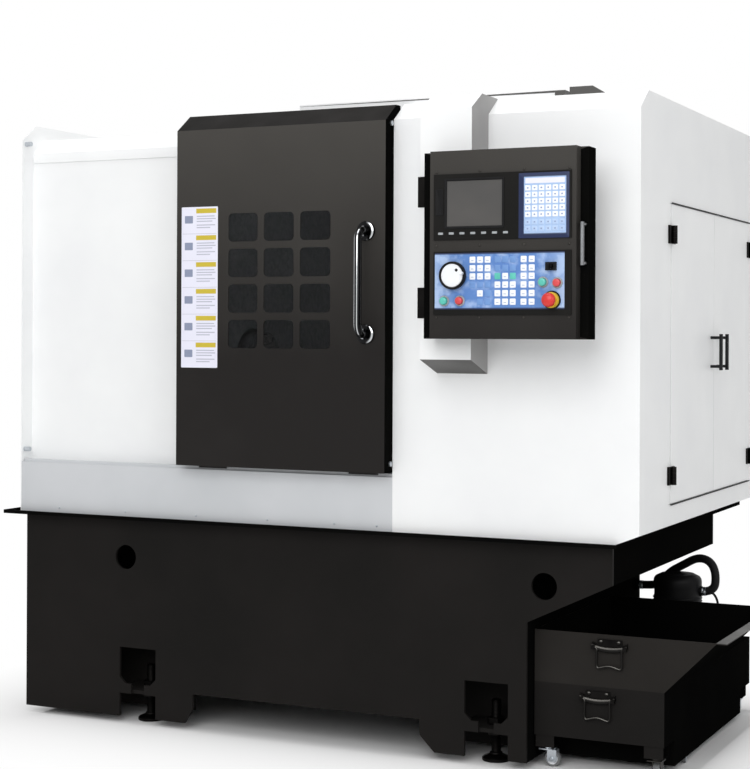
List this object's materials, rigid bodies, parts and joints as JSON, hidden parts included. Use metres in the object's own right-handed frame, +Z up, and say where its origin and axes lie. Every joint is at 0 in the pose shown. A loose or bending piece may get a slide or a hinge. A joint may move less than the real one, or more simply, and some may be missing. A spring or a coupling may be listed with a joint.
{
  "type": "cnc turning lathe",
  "caption": "Slant-bed turning lathe in a full enclosure: dark sliding door with window grid, swinging control box, cabinet doors and a coolant cart on casters.",
  "frame": {"origin": "on the floor under the middle of the bounding box", "axes": "+X to the operator's right along the spindle, +Y from the front to the rear, +Z up"},
  "size_m": [2.454, 1.741, 2.022],
  "materials": {
    "white_paint": "smooth semi-gloss paint",
    "dark_paint": "fine texture dark paint",
    "silver_panel": "satin",
    "galvanised_sheet": "satin",
    "grey_casting": "painted casting",
    "ground_steel": "ground",
    "dark_steel": "oil blackened",
    "chrome": "polished",
    "safety_glass": "smooth dark tint",
    "screen_glass": "matt grey display",
    "panel_film": "printed film",
    "green_plastic": "smooth",
    "red_plastic": "smooth",
    "white_plastic": "smooth",
    "black_plastic": "fine grain",
    "grey_plastic": "fine grain",
    "black_rubber": "matt",
    "grey_rubber": "matt"
  },
  "bodies": {
    "machine": {"base_front_plate": "dark_paint", "base_rear_plate": "dark_paint", "base_side_plates": "dark_paint", "base_cross_members": "dark_paint", "leveling_feet": "ground_steel", "drip_tray": "dark_paint", "bed_casting": "grey_casting", "headstock": "grey_casting", "spindle_bearings": "ground_steel", "spindle_motor": "black_plastic", "drive_belt": "black_rubber", "left_end_panel": "white_paint", "lower_front_panel": "silver_panel", "left_front_panel": "white_paint", "right_front_panel": "white_paint", "control_column": "white_paint", "roof_panel": "white_paint", "rear_panel": "white_paint", "inner_walls": "galvanised_sheet", "right_end_panel": "white_paint", "cabinet_plate": "galvanised_sheet", "cabinet_modules": "grey_plastic"},
    "spindle_unit": {"spindle": "ground_steel", "chuck_body": "ground_steel"},
    "jaw_1": {"chuck_jaw_1": "ground_steel"},
    "jaw_2": {"chuck_jaw_2": "ground_steel"},
    "jaw_3": {"chuck_jaw_3": "ground_steel"},
    "motor_rotor": {"motor_pulley": "ground_steel"},
    "carriage": {"saddle": "grey_casting"},
    "cross_slide": {"x_slide": "grey_casting", "turret_head": "grey_casting"},
    "turret": {"turret_disc": "ground_steel"},
    "tailstock": {"tailstock_body": "grey_casting"},
    "quill": {"tailstock_quill": "ground_steel"},
    "sliding_door": {"front_door": "dark_paint", "door_window": "safety_glass", "door_handle": "chrome"},
    "cabinet_leaf_front": {"cabinet_door_front": "white_paint"},
    "cabinet_leaf_rear": {"cabinet_door_rear": "white_paint"},
    "swing_box": {"control_box": "dark_paint", "control_panels": "panel_film", "display_screen": "screen_glass"},
    "start_key": {"start_button": "green_plastic"},
    "hold_key": {"feed_hold_button": "red_plastic"},
    "power_on_key": {"power_on_button": "green_plastic"},
    "power_off_key": {"power_off_button": "red_plastic"},
    "stop_key": {"estop_button": "red_plastic"},
    "dial": {"handwheel": "white_plastic"},
    "key": {"key_switch": "black_plastic"},
    "cart": {"coolant_tank": "dark_paint", "coolant_pump": "black_plastic", "coolant_hose": "black_rubber", "pump_cable": "black_rubber"},
    "chip_drawer": {"chip_tray": "dark_paint"},
    "wheel_1": {"caster_wheel_1": "grey_rubber"},
    "wheel_2": {"caster_wheel_2": "grey_rubber"},
    "wheel_3": {"caster_wheel_3": "grey_rubber"},
    "wheel_4": {"caster_wheel_4": "grey_rubber"},
    "lower_bail": {"tank_bail": "dark_steel"},
    "upper_bail": {"tray_bail": "dark_steel"}
  },
  "joints": [
    {"name": "spindle_spin", "type": "hinge", "parent": "machine", "child": "spindle_unit", "pos_m": [-0.777, -0.14957, 1.18962], "axis": [1, 0, 0], "continuous": true},
    {"name": "motor_spin", "type": "hinge", "parent": "machine", "child": "motor_rotor", "pos_m": [-1.077, -0.3295, 0.835], "axis": [1, 0, 0], "continuous": true},
    {"name": "jaw_1_slide", "type": "slide", "parent": "spindle_unit", "child": "jaw_1", "axis": [0, 0, 1], "range_m": [0, 0.005]},
    {"name": "jaw_2_slide", "type": "slide", "parent": "spindle_unit", "child": "jaw_2", "axis": [0, -0.866, -0.5], "range_m": [0, 0.005]},
    {"name": "jaw_3_slide", "type": "slide", "parent": "spindle_unit", "child": "jaw_3", "axis": [0, 0.866, -0.5], "range_m": [0, 0.005]},
    {"name": "z_slide", "type": "slide", "parent": "machine", "child": "carriage", "axis": [1, 0, 0], "range_m": [-0.2, 0.03]},
    {"name": "x_axis_slide", "type": "slide", "parent": "carriage", "child": "cross_slide", "axis": [0, 0.7071, 0.7071], "range_m": [-0.05, 0.02]},
    {"name": "turret_index", "type": "hinge", "parent": "cross_slide", "child": "turret", "pos_m": [-0.097, 0.01377, 1.35297], "axis": [1, 0, 0], "continuous": true},
    {"name": "tailstock_slide", "type": "slide", "parent": "machine", "child": "tailstock", "axis": [1, 0, 0], "range_m": [-0.02, 0.04]},
    {"name": "quill_slide", "type": "slide", "parent": "tailstock", "child": "quill", "axis": [-1, 0, 0], "range_m": [0, 0.08]},
    {"name": "door_slide", "type": "slide", "parent": "machine", "child": "sliding_door", "axis": [-1, 0, 0], "range_m": [0, 0.62]},
    {"name": "front_leaf_hinge", "type": "hinge", "parent": "machine", "child": "cabinet_leaf_front", "pos_m": [1.004, -0.264, 1.23], "axis": [0, 0, -1], "range_deg": [0, 110]},
    {"name": "rear_leaf_hinge", "type": "hinge", "parent": "machine", "child": "cabinet_leaf_rear", "pos_m": [1.004, 0.73, 1.23], "axis": [0, 0, 1], "range_deg": [0, 110]},
    {"name": "box_swing", "type": "hinge", "parent": "machine", "child": "swing_box", "pos_m": [0.409, -0.7185, 1.543], "axis": [0, 0, -1], "range_deg": [0, 90]},
    {"name": "start_press", "type": "slide", "parent": "swing_box", "child": "start_key", "axis": [0, 1, 0], "range_m": [0, 0.003], "stiffness_N_per_m": 800},
    {"name": "hold_press", "type": "slide", "parent": "swing_box", "child": "hold_key", "axis": [0, 1, 0], "range_m": [0, 0.003], "stiffness_N_per_m": 800},
    {"name": "power_on_press", "type": "slide", "parent": "swing_box", "child": "power_on_key", "axis": [0, 1, 0], "range_m": [0, 0.003], "stiffness_N_per_m": 800},
    {"name": "power_off_press", "type": "slide", "parent": "swing_box", "child": "power_off_key", "axis": [0, 1, 0], "range_m": [0, 0.003], "stiffness_N_per_m": 800},
    {"name": "stop_press", "type": "slide", "parent": "swing_box", "child": "stop_key", "axis": [0, 1, 0], "range_m": [0, 0.005], "stiffness_N_per_m": 1500},
    {"name": "dial_turn", "type": "hinge", "parent": "swing_box", "child": "dial", "pos_m": [0.52, -0.8275, 1.455], "axis": [0, 1, 0], "continuous": true},
    {"name": "key_turn", "type": "hinge", "parent": "swing_box", "child": "key", "pos_m": [0.813, -0.8275, 1.478], "axis": [0, 1, 0], "range_deg": [0, 90]},
    {"name": "cart_slide", "type": "slide", "parent": "machine", "child": "cart", "axis": [0, -1, 0], "range_m": [0, 0.12]},
    {"name": "drawer_slide", "type": "slide", "parent": "cart", "child": "chip_drawer", "axis": [0, -1, 0], "range_m": [0, 0.5]},
    {"name": "lower_bail_hinge", "type": "hinge", "parent": "cart", "child": "lower_bail", "pos_m": [0.847, -0.5115, 0.22], "axis": [-1, 0, 0], "range_deg": [0, 100]},
    {"name": "upper_bail_hinge", "type": "hinge", "parent": "chip_drawer", "child": "upper_bail", "pos_m": [0.883, -0.5115, 0.374], "axis": [-1, 0, 0], "range_deg": [0, 100]},
    {"name": "wheel_1_roll", "type": "hinge", "parent": "cart", "child": "wheel_1", "pos_m": [0.697, -0.4685, 0.024], "axis": [0, 1, 0], "continuous": true},
    {"name": "wheel_2_roll", "type": "hinge", "parent": "cart", "child": "wheel_2", "pos_m": [1.014, -0.4525, 0.024], "axis": [1, 0, 0], "continuous": true},
    {"name": "wheel_3_roll", "type": "hinge", "parent": "cart", "child": "wheel_3", "pos_m": [0.681, 0.4995, 0.024], "axis": [1, 0, 0], "continuous": true},
    {"name": "wheel_4_roll", "type": "hinge", "parent": "cart", "child": "wheel_4", "pos_m": [1.014, 0.4995, 0.024], "axis": [1, 0, 0], "continuous": true}
  ],
  "couplings": [
    {"joint": "motor_spin", "follows": "spindle_spin", "ratio": 1.3333},
    {"joint": "jaw_2_slide", "follows": "jaw_1_slide", "ratio": 1},
    {"joint": "jaw_3_slide", "follows": "jaw_1_slide", "ratio": 1}
  ]
}
